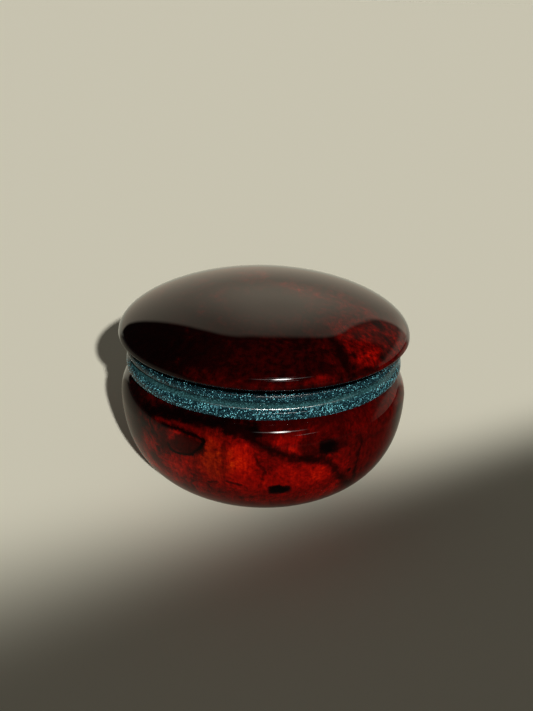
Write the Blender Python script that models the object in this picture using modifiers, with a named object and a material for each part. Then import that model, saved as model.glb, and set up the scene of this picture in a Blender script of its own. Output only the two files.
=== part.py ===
"""Round alabaster trinket box with a lift-off lid, and a pair of glitter rings where it opens.

The origin is the centre of the flat underside, and +Z is the turning axis. Lengths are in metres.
"""
import bpy

# Overall form
DIAMETER = 0.0900            # bowl and lid, each at its fullest line
BAND_INSET = 0.0020          # how far both rings stand back from that fullest line
SEAT_GAP = 0.0003            # between any two pieces that lie on each other

# Bowl
FOOT_DIAMETER = 0.0442       # flat underside
BELLY_HEIGHT = 0.0302        # fullest line above the underside
SHOULDER_HEIGHT = 0.0088     # from the fullest line up to the flat rim
BOWL_RIM_INSET = 0.0034      # rim's outer edge behind the ring that covers it
RIM_WIDTH = 0.0040           # flat rim, from its outer edge in to the mouth
BOWL_WALL = 0.0050           # at the fullest line
BOWL_FLOOR = 0.0055          # in the middle

# Rings
LOWER_RING_HEIGHT = 0.0050   # fixed on the bowl's rim
LOWER_RING_CROWN = 0.0024    # how far its upper edge leans back from its fullest line
LOWER_RING_FULLEST = 0.0013  # fullest line above its lower edge
UPPER_RING_HEIGHT = 0.0026   # fixed under the lid
UPPER_RING_CROWN = 0.0008    # how far its upper edge leans back
UPPER_RING_FULLEST = 0.0012  # fullest line above its lower edge
RING_UNDERCUT = 0.0005       # how far both rings draw in at their lower edges
LIP_THICKNESS = 0.0024       # locating lip that stands up inside the upper ring
LIP_RISE = 0.0015            # lip above the lower ring's top
LIP_CLEARANCE = 0.0003       # all round the lip, so that the lid lifts off freely

# Lid
DOME_RISE = 0.0150           # crown above the lid's fullest line
LID_EDGE_HEIGHT = 0.0025     # fullest line above the lid's flat seat
LID_SEAT_INSET = 0.0017      # seat's outer edge behind the ring under it
LID_CROWN_THICKNESS = 0.0050
LID_BORE_DEPTH = 0.0015      # straight wall inside before the hollow rounds over

# How full each curve is: where its two handles lie, as shares of the way across and up it
BOWL_HOLLOW_CURVE = ((0.80, 0.0), (1.0, 0.30))
BOWL_NECK_CURVE = ((0.0, 0.40), (0.70, 0.75))
SHOULDER_CURVE = ((0.63, 0.16), (1.0, 0.62))
BOWL_SIDE_CURVE = ((0.0, 0.54), (0.31, 0.86))
DOME_CURVE = ((0.49, 0.0), (1.0, 0.55))
LID_UNDERSIDE_CURVE = ((0.0, 0.30), (0.50, 0.74))
LID_HOLLOW_CURVE = ((0.0, 0.50), (0.50, 1.0))
LOWER_RING_CURVE = ((0.56, 0.16), (1.0, 0.60))
UPPER_RING_CURVE = ((0.70, 0.10), (1.0, 0.50))
RING_HEEL_CURVE = ((0.0, 0.50), (0.40, 1.0))

# Fineness of the turned solids
STEPS = 60
MERGE_DISTANCE = 0.00001

# Radii and heights that follow from the sizes above
full_radius = DIAMETER / 2
band_radius = full_radius - BAND_INSET
foot_radius = FOOT_DIAMETER / 2
rim_radius = band_radius - BOWL_RIM_INSET
mouth_radius = rim_radius - RIM_WIDTH
lip_radius = mouth_radius + LIP_THICKNESS
lid_bore_radius = lip_radius + LIP_CLEARANCE
seat_radius = band_radius - LID_SEAT_INSET

rim_height = BELLY_HEIGHT + SHOULDER_HEIGHT
lower_ring_bottom = rim_height + SEAT_GAP
lower_ring_top = lower_ring_bottom + LOWER_RING_HEIGHT
upper_ring_bottom = lower_ring_top + SEAT_GAP
upper_ring_top = upper_ring_bottom + UPPER_RING_HEIGHT
seat_height = upper_ring_top + SEAT_GAP
edge_height = seat_height + LID_EDGE_HEIGHT
crown_height = edge_height + DOME_RISE


def swept_curve(start, end, handles, segments):
    """Points (radius, height) on a cubic curve, without its end point.

    Each handle is given as its shares of the way from start to end, in radius and in height.
    """
    corners = [start]
    for across, up in handles:
        corners.append((start[0] + across * (end[0] - start[0]), start[1] + up * (end[1] - start[1])))
    corners.append(end)
    points = []
    for step in range(segments):
        t = step / segments
        weights = ((1 - t) ** 3, 3 * (1 - t) ** 2 * t, 3 * (1 - t) * t * t, t ** 3)
        radius = sum(weight * corner[0] for weight, corner in zip(weights, corners))
        height = sum(weight * corner[1] for weight, corner in zip(weights, corners))
        points.append((radius, height))
    return points


def bowl_profile():
    """From the middle of the floor, up the hollow, over the rim and down the outside to the foot."""
    belly_inside = (full_radius - BOWL_WALL, BELLY_HEIGHT)
    belly_outside = (full_radius, BELLY_HEIGHT)
    hollow = swept_curve((0.0, BOWL_FLOOR), belly_inside, BOWL_HOLLOW_CURVE, 9)
    neck = swept_curve(belly_inside, (mouth_radius, rim_height), BOWL_NECK_CURVE, 4)
    rim = [(mouth_radius, rim_height)]
    shoulder = swept_curve((rim_radius, rim_height), belly_outside, SHOULDER_CURVE, 6)
    side = swept_curve(belly_outside, (foot_radius, 0.0), BOWL_SIDE_CURVE, 9)
    foot = [(foot_radius, 0.0), (0.0, 0.0)]
    return hollow + neck + rim + shoulder + side + foot


def lid_profile():
    """From the crown down the dome, round the edge, across the seat and up the hollow underneath."""
    edge = (full_radius, edge_height)
    bore_top = (lid_bore_radius, seat_height + LID_BORE_DEPTH)
    hollow_crown = (0.0, crown_height - LID_CROWN_THICKNESS)
    dome = swept_curve((0.0, crown_height), edge, DOME_CURVE, 10)
    underside = swept_curve(edge, (seat_radius, seat_height), LID_UNDERSIDE_CURVE, 4)
    seat = [(seat_radius, seat_height), (lid_bore_radius, seat_height)]
    hollow = swept_curve(bore_top, hollow_crown, LID_HOLLOW_CURVE, 8)
    return dome + underside + seat + hollow + [hollow_crown]


def bowl_ring_profile():
    """A bulged ring with its lip: down the lip and the outer face, then back up the bore."""
    fullest = (band_radius, lower_ring_bottom + LOWER_RING_FULLEST)
    bottom_edge = (band_radius - RING_UNDERCUT, lower_ring_bottom)
    top_edge = (band_radius - LOWER_RING_CROWN, lower_ring_top)
    lip = [(mouth_radius, lower_ring_top + LIP_RISE),
           (lip_radius, lower_ring_top + LIP_RISE),
           (lip_radius, lower_ring_top)]
    face = swept_curve(top_edge, fullest, LOWER_RING_CURVE, 6)
    heel = swept_curve(fullest, bottom_edge, RING_HEEL_CURVE, 2)
    bottom = [bottom_edge, (mouth_radius, lower_ring_bottom)]
    return lip + face + heel + bottom


def lid_ring_profile():
    """A slim band, rounded at its upper edge, that the lip of the lower ring passes up into."""
    fullest = (band_radius, upper_ring_bottom + UPPER_RING_FULLEST)
    top_edge = (band_radius - UPPER_RING_CROWN, upper_ring_top)
    bottom_edge = (band_radius - RING_UNDERCUT, upper_ring_bottom)
    top = [(lid_bore_radius, upper_ring_top)]
    face = swept_curve(top_edge, fullest, UPPER_RING_CURVE, 4)
    heel = swept_curve(fullest, bottom_edge, RING_HEEL_CURVE, 2)
    bottom = [bottom_edge, (lid_bore_radius, upper_ring_bottom)]
    return top + face + heel + bottom


def finish(name, colour, roughness, coat):
    """A Principled material: polished stone or glitter lacquer under a clear coat."""
    material = bpy.data.materials.new(name)
    material.use_nodes = True
    shader = material.node_tree.nodes["Principled BSDF"]
    shader.inputs["Base Color"].default_value = (*colour, 1.0)
    shader.inputs["Roughness"].default_value = roughness
    shader.inputs["Metallic"].default_value = 0.0
    shader.inputs["Coat Weight"].default_value = coat
    material.diffuse_color = (*colour, 1.0)
    return material


def turned_piece(name, profile, closed, material, collection):
    """Turns a profile round the Z axis; an open profile has both its ends on the axis."""
    points = [(radius, 0.0, height) for radius, height in profile]
    edges = [(index, index + 1) for index in range(len(points) - 1)]
    if closed:
        edges.append((len(points) - 1, 0))
    mesh = bpy.data.meshes.new(name)
    mesh.from_pydata(points, edges, [])
    mesh.materials.append(material)
    piece = bpy.data.objects.new(name, mesh)
    collection.objects.link(piece)
    screw = piece.modifiers.new("Turning", "SCREW")
    screw.axis = "Z"
    screw.steps = STEPS
    screw.render_steps = STEPS
    screw.use_merge_vertices = True
    screw.merge_threshold = MERGE_DISTANCE
    screw.use_smooth_shade = True
    return piece


for leftover in list(bpy.data.objects):
    bpy.data.objects.remove(leftover, do_unlink=True)

box = bpy.data.collections.new("alabaster_trinket_box")
bpy.context.scene.collection.children.link(box)

red_stone = finish("dyed_alabaster_bowl", (0.17, 0.012, 0.008), 0.12, 1.0)
dark_stone = finish("dyed_alabaster_lid", (0.09, 0.008, 0.006), 0.10, 1.0)
glitter = finish("glitter_lower", (0.028, 0.085, 0.100), 0.30, 1.0)
dark_glitter = finish("glitter_upper", (0.020, 0.060, 0.070), 0.30, 1.0)

turned_piece("bowl", bowl_profile(), False, red_stone, box)
turned_piece("bowl_ring", bowl_ring_profile(), True, glitter, box)
turned_piece("lid_ring", lid_ring_profile(), True, dark_glitter, box)
turned_piece("lid", lid_profile(), False, dark_stone, box)
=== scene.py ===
"""Looks of a small round box turned from dyed alabaster, with a pair of glitter rings where it opens.

Lengths are in metres. The box stands on its flat foot at the origin, its turning axis is +Z, and the
camera stands at -Y. Places on the stone are given as an angle round the box, 0 at the front and growing
to the right, and a height above the table.
"""
import math

import bpy
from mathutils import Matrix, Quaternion, Vector


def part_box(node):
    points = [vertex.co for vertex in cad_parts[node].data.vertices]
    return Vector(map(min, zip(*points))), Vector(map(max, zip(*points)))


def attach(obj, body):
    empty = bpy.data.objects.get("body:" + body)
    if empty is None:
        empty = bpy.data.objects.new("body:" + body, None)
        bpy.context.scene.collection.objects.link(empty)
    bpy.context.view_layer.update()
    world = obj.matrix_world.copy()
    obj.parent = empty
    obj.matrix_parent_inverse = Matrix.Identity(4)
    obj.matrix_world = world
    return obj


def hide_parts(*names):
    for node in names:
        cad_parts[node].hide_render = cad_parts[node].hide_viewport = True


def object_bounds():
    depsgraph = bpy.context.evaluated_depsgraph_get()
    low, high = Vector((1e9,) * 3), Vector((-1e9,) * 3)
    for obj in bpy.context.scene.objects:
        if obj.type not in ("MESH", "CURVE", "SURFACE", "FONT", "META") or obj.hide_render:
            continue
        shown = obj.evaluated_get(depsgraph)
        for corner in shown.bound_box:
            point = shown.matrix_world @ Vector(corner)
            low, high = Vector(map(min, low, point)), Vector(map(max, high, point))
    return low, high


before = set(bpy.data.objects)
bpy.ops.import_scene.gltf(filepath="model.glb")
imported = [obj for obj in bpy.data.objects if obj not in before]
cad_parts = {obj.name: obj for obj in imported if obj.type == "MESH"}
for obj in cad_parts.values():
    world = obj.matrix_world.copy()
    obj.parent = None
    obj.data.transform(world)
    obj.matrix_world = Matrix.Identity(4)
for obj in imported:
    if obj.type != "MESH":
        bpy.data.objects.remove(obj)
cad_low, cad_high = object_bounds()


# The bowl
# One block of alabaster, hollowed and turned on a lathe to a full belly over a flat foot. It is dyed deep
# red, so that clear stone glows orange and its iron veins stay nearly black, and it is sealed with a thick
# clear lacquer.
bowl_low, bowl_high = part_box("bowl")
FULL_RADIUS = bowl_high.x
BOWL_RIM_HEIGHT = bowl_high.z
BELLY_HEIGHT = 0.0302
FOOT_RADIUS = 0.0221
RIM_RADIUS = 0.0396
MOUTH_RADIUS = 0.0356
BOWL_WALL = 0.0050
BOWL_FLOOR = 0.0055
TURNED_SIDES = 240
CURVE_FINENESS = 20
MM = 0.001
# A straight stretch of an outline has its two handles at its thirds
STRAIGHT = ((1 / 3, 1 / 3), (2 / 3, 2 / 3))


def section_outline(name, start, stretches, closed):
    """A Bezier outline (radius, height) of a turned piece, from start through each stretch's end.

    A stretch is (end, handles). Its handles are shares of the way across and up to its end.
    """
    corners = [start] + [end for end, _ in stretches]
    curve = bpy.data.curves.new(name, "CURVE")
    curve.dimensions = "3D"
    curve.resolution_u = CURVE_FINENESS
    curve.render_resolution_u = CURVE_FINENESS
    spline = curve.splines.new("BEZIER")
    knots = len(stretches) if closed else len(corners)
    spline.bezier_points.add(knots - 1)
    spline.use_cyclic_u = closed
    for knot, (radius, height) in zip(spline.bezier_points, corners):
        knot.co = (radius, height, 0.0)
        knot.handle_left_type = knot.handle_right_type = "FREE"
    for index, (end, handles) in enumerate(stretches):
        here = spline.bezier_points[index]
        there = spline.bezier_points[(index + 1) % knots]
        if handles is STRAIGHT:
            here.handle_right_type = there.handle_left_type = "VECTOR"
        (across, up), (across_end, up_end) = handles
        width, rise = end[0] - corners[index][0], end[1] - corners[index][1]
        here.handle_right = (corners[index][0] + across * width, corners[index][1] + up * rise, 0.0)
        there.handle_left = (corners[index][0] + across_end * width, corners[index][1] + up_end * rise, 0.0)
    made = bpy.data.objects.new(name, curve)
    bpy.context.scene.collection.objects.link(made)
    return made


def add(tree, kind, inputs=None, **settings):
    """A new node with its settings. An input is a plain value, or another node's output to link."""
    made = tree.nodes.new(kind)
    for name, value in settings.items():
        setattr(made, name, value)
    for name, value in (inputs or {}).items():
        if isinstance(value, bpy.types.NodeSocket):
            tree.links.new(value, made.inputs[name])
        else:
            made.inputs[name].default_value = value
    return made


def maths(tree, operation, first, second=0.0, third=0.0, clamped=False):
    """The output of a Math node."""
    return add(tree, "ShaderNodeMath", {0: first, 1: second, 2: third}, operation=operation,
               use_clamp=clamped).outputs[0]


def tree_sockets(tree, inputs, outputs):
    """Gives a node tree its named inputs, as (name, kind, value), and its named outputs, as (name, kind)."""
    for name, kind, value in inputs:
        socket = tree.interface.new_socket(name=name, in_out="INPUT", socket_type=kind)
        if value is not None:
            socket.default_value = value
    for name, kind in outputs:
        tree.interface.new_socket(name=name, in_out="OUTPUT", socket_type=kind)


def turning_tree():
    """Geometry nodes that turn a section outline (radius, height) once round the Z axis."""
    tree = bpy.data.node_groups.new("Turned on the lathe", "GeometryNodeTree")
    tree_sockets(tree,
                 [("Outline", "NodeSocketGeometry", None), ("Sides", "NodeSocketInt", TURNED_SIDES),
                  ("Closed section", "NodeSocketBool", False), ("Weld distance", "NodeSocketFloat", 1e-6),
                  ("Finish", "NodeSocketMaterial", None)],
                 [("Geometry", "NodeSocketGeometry")])
    given = tree.nodes.new("NodeGroupInput").outputs
    line = add(tree, "GeometryNodeCurveToMesh", {"Curve": given["Outline"]}).outputs["Mesh"]
    count = add(tree, "GeometryNodeAttributeDomainSize", {"Geometry": line}).outputs["Point Count"]
    rows = maths(tree, "ADD", count, given["Closed section"])
    columns = maths(tree, "ADD", given["Sides"], 1.0)
    grid = add(tree, "GeometryNodeMeshGrid", {"Vertices X": columns, "Vertices Y": rows}).outputs["Mesh"]
    index = tree.nodes.new("GeometryNodeInputIndex").outputs["Index"]
    along = maths(tree, "MODULO", maths(tree, "MODULO", index, rows), count)
    turn = maths(tree, "DIVIDE", maths(tree, "FLOOR", maths(tree, "DIVIDE", index, rows)), given["Sides"])
    angle = maths(tree, "MULTIPLY", turn, math.tau)
    place = tree.nodes.new("GeometryNodeInputPosition").outputs["Position"]
    sampled = add(tree, "GeometryNodeSampleIndex", {"Geometry": line, "Value": place, "Index": along},
                  data_type="FLOAT_VECTOR")
    section = add(tree, "ShaderNodeSeparateXYZ", {"Vector": sampled.outputs["Value"]}).outputs
    turned = add(tree, "ShaderNodeCombineXYZ", {
        "X": maths(tree, "MULTIPLY", section["X"], maths(tree, "COSINE", angle)),
        "Y": maths(tree, "MULTIPLY", section["X"], maths(tree, "SINE", angle)),
        "Z": section["Y"]})
    placed = add(tree, "GeometryNodeSetPosition", {"Geometry": grid, "Position": turned.outputs["Vector"]})
    welded = add(tree, "GeometryNodeMergeByDistance",
                 {"Geometry": placed.outputs["Geometry"], "Distance": given["Weld distance"]})
    outward = add(tree, "GeometryNodeFlipFaces", {"Mesh": welded.outputs["Geometry"]})
    smooth = add(tree, "GeometryNodeSetShadeSmooth", {"Geometry": outward.outputs["Mesh"]})
    whole = add(tree, "GeometryNodeRealizeInstances", {"Geometry": smooth.outputs["Geometry"]})
    finished = add(tree, "GeometryNodeSetMaterial",
                   {"Geometry": whole.outputs["Geometry"], "Material": given["Finish"]})
    add(tree, "NodeGroupOutput", {"Geometry": finished.outputs["Geometry"]})
    return tree


def made_plain(source, name, tree, values):
    """Runs a geometry tree on an object with these input values, and returns the result as a plain mesh."""
    modifier = source.modifiers.new(tree.name, "NODES")
    modifier.node_group = tree
    for item in tree.interface.items_tree:
        if item.in_out == "INPUT" and item.name in values:
            modifier[item.identifier] = values[item.name]
    evaluated = source.evaluated_get(bpy.context.evaluated_depsgraph_get())
    mesh = bpy.data.meshes.new_from_object(evaluated)
    mesh.name = name
    # A grid's or a cylinder's mesh has an empty slot before those that the tree sets
    if mesh.materials[0] is None:
        mesh.materials.pop(index=0)
    source.modifiers.remove(modifier)
    bpy.data.objects.remove(source)
    piece = bpy.data.objects.new(name, mesh)
    bpy.context.scene.collection.objects.link(piece)
    return piece


SHARP_ANGLE = math.radians(35)
turned_on_the_lathe = turning_tree()


def turned_piece(name, material, start, stretches, closed=False):
    """The turned solid of a section outline, smooth but for its sharp corners."""
    outline = section_outline(name + "_outline", start, stretches, closed)
    piece = made_plain(outline, name, turned_on_the_lathe,
                       {"Sides": TURNED_SIDES, "Closed section": closed, "Finish": material})
    piece.data.set_sharp_from_angle(angle=SHARP_ANGLE)
    return piece


def vectors(tree, operation, first, second=(0.0, 0.0, 0.0), scale=1.0):
    """The output of a Vector Math node: a number from LENGTH and DOT_PRODUCT, otherwise a vector."""
    made = add(tree, "ShaderNodeVectorMath", {0: first, 1: second, 3: scale}, operation=operation)
    return made.outputs["Value" if operation in ("LENGTH", "DOT_PRODUCT") else "Vector"]


def remapped(tree, value, low, high, to_low=0.0, to_high=1.0, smooth=False):
    """The output of a Map Range node."""
    made = add(tree, "ShaderNodeMapRange", {
        "Value": value, "From Min": low, "From Max": high, "To Min": to_low, "To Max": to_high},
        interpolation_type="SMOOTHSTEP" if smooth else "LINEAR")
    return made.outputs["Result"]


def noise(tree, place, size, detail=2.0, roughness=0.5, seed=0.0):
    """A noise texture whose lumps are about this many metres across."""
    return add(tree, "ShaderNodeTexNoise", {
        "Vector": place, "W": seed, "Scale": maths(tree, "DIVIDE", 1.0, size), "Detail": detail,
        "Roughness": roughness}, noise_dimensions="4D").outputs


def swaying(tree, place, size, detail, roughness=0.5, seed=0.0):
    """A noise that sways to both sides of zero."""
    return maths(tree, "SUBTRACT", noise(tree, place, size, detail, roughness, seed)["Fac"], 0.5)


def wandering(tree, place, amount, size, detail, seed):
    """A place moved about by a noise, so that what is drawn there gets a ragged edge."""
    drift = noise(tree, place, size, detail, roughness=0.6, seed=seed)["Color"]
    drift = vectors(tree, "SUBTRACT", drift, (0.5, 0.5, 0.5))
    return vectors(tree, "ADD", place, vectors(tree, "SCALE", drift, scale=amount))


# Shares of the full radius between which the surface turns from level to upright
LEVEL_WITHIN = 0.55
UPRIGHT_BEYOND = 0.85


def unrolled_group():
    """Shader group: a point as its arc length round the box and its height, and what roughens edges."""
    tree = bpy.data.node_groups.new("Unrolled from the box", "ShaderNodeTree")
    tree_sockets(tree,
                 [("Vector", "NodeSocketVector", None), ("Radius", "NodeSocketFloat", FULL_RADIUS),
                  ("Waver", "NodeSocketFloat", 2.2 * MM), ("Waver size", "NodeSocketFloat", 6 * MM),
                  ("Crumb size", "NodeSocketFloat", 2.2 * MM)],
                 [("Place", "NodeSocketVector"), ("Crumb", "NodeSocketFloat"),
                  ("Upright", "NodeSocketFloat")])
    given = tree.nodes.new("NodeGroupInput").outputs
    ragged = wandering(tree, given["Vector"], given["Waver"], given["Waver size"], detail=5.0, seed=0.0)
    point = add(tree, "ShaderNodeSeparateXYZ", {"Vector": ragged}).outputs
    behind = maths(tree, "MULTIPLY", point["Y"], -1.0)
    arc = maths(tree, "MULTIPLY", maths(tree, "ARCTAN2", point["X"], behind), given["Radius"])
    flat = add(tree, "ShaderNodeCombineXYZ", {"X": arc, "Y": point["Z"]}).outputs["Vector"]
    crumb = swaying(tree, given["Vector"], given["Crumb size"], detail=5.0, roughness=0.62, seed=4.0)
    out = vectors(tree, "LENGTH", vectors(tree, "MULTIPLY", given["Vector"], (1.0, 1.0, 0.0)))
    share = maths(tree, "DIVIDE", out, given["Radius"])
    upright = remapped(tree, share, LEVEL_WITHIN, UPRIGHT_BEYOND, smooth=True)
    add(tree, "NodeGroupOutput", {"Place": flat, "Crumb": crumb, "Upright": upright})
    return tree


def stain_group():
    """Shader group: a mask for one leaning oval stain at its place on the unrolled surface."""
    tree = bpy.data.node_groups.new("Stain in the stone", "ShaderNodeTree")
    tree_sockets(tree,
                 [("Place", "NodeSocketVector", None), ("Crumb", "NodeSocketFloat", 0.0),
                  ("Centre", "NodeSocketVector", None),
                  ("Half size", "NodeSocketVector", (5 * MM, 3 * MM, 1.0)), ("Lean", "NodeSocketFloat", 0.0),
                  ("Softness", "NodeSocketFloat", 0.4), ("Ragged", "NodeSocketFloat", 1.6)],
                 [("Mask", "NodeSocketFloat")])
    given = tree.nodes.new("NodeGroupInput").outputs
    away = vectors(tree, "SUBTRACT", given["Place"], given["Centre"])
    level = add(tree, "ShaderNodeVectorRotate", {"Vector": away, "Angle": given["Lean"]},
                rotation_type="Z_AXIS").outputs["Vector"]
    far = vectors(tree, "LENGTH", vectors(tree, "DIVIDE", level, given["Half size"]))
    far = maths(tree, "MULTIPLY_ADD", given["Crumb"], given["Ragged"], far)
    inner = maths(tree, "SUBTRACT", 1.0, given["Softness"])
    outer = maths(tree, "ADD", 1.0, given["Softness"])
    add(tree, "NodeGroupOutput", {"Mask": remapped(tree, far, inner, outer, 1.0, 0.0, smooth=True)})
    return tree


def vein_group():
    """Shader group: a mask for one straight stretch of a vein on the unrolled surface."""
    tree = bpy.data.node_groups.new("Vein in the stone", "ShaderNodeTree")
    tree_sockets(tree,
                 [("Place", "NodeSocketVector", None), ("Crumb", "NodeSocketFloat", 0.0),
                  ("Start", "NodeSocketVector", None), ("End", "NodeSocketVector", None),
                  ("Half width", "NodeSocketFloat", 0.5 * MM), ("Ragged", "NodeSocketFloat", 5.0),
                  ("Fade", "NodeSocketFloat", 2.2)],
                 [("Mask", "NodeSocketFloat")])
    given = tree.nodes.new("NodeGroupInput").outputs
    run = vectors(tree, "SUBTRACT", given["End"], given["Start"])
    away = vectors(tree, "SUBTRACT", given["Place"], given["Start"])
    forward = maths(tree, "DIVIDE", vectors(tree, "DOT_PRODUCT", away, run),
                    vectors(tree, "DOT_PRODUCT", run, run), clamped=True)
    aside = vectors(tree, "SUBTRACT", away, vectors(tree, "SCALE", run, scale=forward))
    widths = maths(tree, "DIVIDE", vectors(tree, "LENGTH", aside), given["Half width"])
    widths = maths(tree, "MULTIPLY_ADD", given["Crumb"], given["Ragged"], widths)
    mask = remapped(tree, widths, 0.0, given["Fade"], 1.0, 0.0, smooth=True)
    add(tree, "NodeGroupOutput", {"Mask": mask})
    return tree


# Values of their noise between which the clouds clear up and the ink sets in
CLOUD_RANGE = (0.34, 0.66)
INK_RANGE = (0.56, 0.66)
INK_DEPTH = 0.85
VEIN_DEPTH = 0.8
SCALES_PER_GRAIN = 0.6
SCALES_MIDDLE = 0.45
SCALES_DEPTH = 0.25


def body_group():
    """Shader group: how clear the grown stone is, from 0 where iron blackens it to 1, and its fine grain."""
    tree = bpy.data.node_groups.new("Alabaster body", "ShaderNodeTree")
    tree_sockets(tree,
                 [("Vector", "NodeSocketVector", None), ("Cloud size", "NodeSocketFloat", 13 * MM),
                  ("Warp", "NodeSocketFloat", 9 * MM), ("Darkest", "NodeSocketFloat", 0.1),
                  ("Clearest", "NodeSocketFloat", 0.8), ("Ink size", "NodeSocketFloat", 10 * MM),
                  ("Vein spacing", "NodeSocketFloat", 24 * MM), ("Vein width", "NodeSocketFloat", 0.016),
                  ("Grain size", "NodeSocketFloat", 1.1 * MM), ("Seed", "NodeSocketFloat", 0.0)],
                 [("Clearness", "NodeSocketFloat"), ("Grain", "NodeSocketFloat")])
    given = tree.nodes.new("NodeGroupInput").outputs
    cloud_seed = maths(tree, "ADD", given["Seed"], 7.3)
    ink_seed = maths(tree, "ADD", given["Seed"], 3.1)
    warped = wandering(tree, given["Vector"], given["Warp"], given["Cloud size"], 2.0, given["Seed"])
    cloud = noise(tree, warped, given["Cloud size"], detail=6.0, roughness=0.55, seed=cloud_seed)["Fac"]
    cloud = remapped(tree, cloud, *CLOUD_RANGE, given["Darkest"], given["Clearest"])
    ink = noise(tree, warped, given["Ink size"], detail=5.0, roughness=0.6, seed=ink_seed)["Fac"]
    ink = maths(tree, "MULTIPLY", remapped(tree, ink, *INK_RANGE, smooth=True), INK_DEPTH)
    aside = swaying(tree, warped, given["Vein spacing"], detail=4.0, seed=given["Seed"])
    veined = remapped(tree, maths(tree, "ABSOLUTE", aside), 0.0, given["Vein width"], VEIN_DEPTH, 0.0,
                      smooth=True)
    clear_of_both = maths(tree, "SUBTRACT", 1.0, maths(tree, "MAXIMUM", ink, veined))
    clearness = maths(tree, "MULTIPLY", cloud, clear_of_both)
    mottle = swaying(tree, warped, given["Grain size"], detail=4.0, roughness=0.65)
    scales = add(tree, "ShaderNodeTexVoronoi", {
        "Vector": warped, "Scale": maths(tree, "DIVIDE", SCALES_PER_GRAIN, given["Grain size"])})
    scales = maths(tree, "SUBTRACT", SCALES_MIDDLE, scales.outputs["Distance"])
    grain = maths(tree, "ADD", mottle, maths(tree, "MULTIPLY", scales, SCALES_DEPTH))
    add(tree, "NodeGroupOutput", {"Clearness": clearness, "Grain": grain})
    return tree


unrolled = unrolled_group()
stain = stain_group()
vein = vein_group()
body = body_group()


def spot(angle, height):
    """A place on the stone, from its angle in degrees and its height in millimetres."""
    return (math.radians(angle) * FULL_RADIUS, height * MM, 0.0)


def group_node(tree, group, inputs):
    """One use of a shader group in a material."""
    return add(tree, "ShaderNodeGroup", inputs, node_tree=group).outputs


def blended(tree, factor, first, second):
    """The colour between two colours. Inputs 6 and 7 and output 2 are a Mix node's sockets for colours."""
    return add(tree, "ShaderNodeMix", {0: factor, 6: first, 7: second}, data_type="RGBA").outputs[2]


def drawn_to(tree, value, target, share):
    """A number drawn this share of the way to a target."""
    return maths(tree, "ADD", value, maths(tree, "MULTIPLY", maths(tree, "SUBTRACT", target, value), share))


def banded(tree, value, stops):
    """The colour that a ramp gives at this value. stops are (place, colour)."""
    ramp = tree.nodes.new("ShaderNodeValToRGB")
    elements = ramp.color_ramp.elements
    while len(elements) < len(stops):
        elements.new(0.5)
    for element, (place, colour) in zip(elements, stops):
        element.position = place
        element.color = (*colour, 1.0)
    tree.links.new(value, ramp.inputs["Fac"])
    return ramp.outputs["Color"]


LACQUER_IOR = 1.37
LACQUER_ROUGHNESS = 0.02


def lacquered(name, roughness):
    """A Principled material under clear gloss lacquer, with its node tree and its shader."""
    material = bpy.data.materials.new(name)
    material.use_nodes = True
    shader = material.node_tree.nodes["Principled BSDF"]
    shader.inputs["Roughness"].default_value = roughness
    shader.inputs["Specular IOR Level"].default_value = 0.0
    shader.inputs["Coat Weight"].default_value = 1.0
    shader.inputs["Coat Roughness"].default_value = LACQUER_ROUGHNESS
    shader.inputs["Coat IOR"].default_value = LACQUER_IOR
    return material, material.node_tree, shader


# The red dye in the stone, from where iron blackens it to where it is clearest
DYE = [
    (0.00, (0.0006, 0.0002, 0.0002)), (0.15, (0.0055, 0.0002, 0.0002)), (0.30, (0.024, 0.0004, 0.0003)),
    (0.45, (0.068, 0.0008, 0.0004)), (0.60, (0.154, 0.0014, 0.0005)), (0.75, (0.272, 0.0038, 0.0006)),
    (0.88, (0.44, 0.013, 0.0010)), (1.00, (0.68, 0.045, 0.0020))]
RUST = (0.75, 2.6, 1.4)
RUST_SOFTNESS = 0.7
STREAK_WIDTH = 0.0006
STREAK_LENGTH = 0.008
STONE_ROUGHNESS = 0.25


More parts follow.
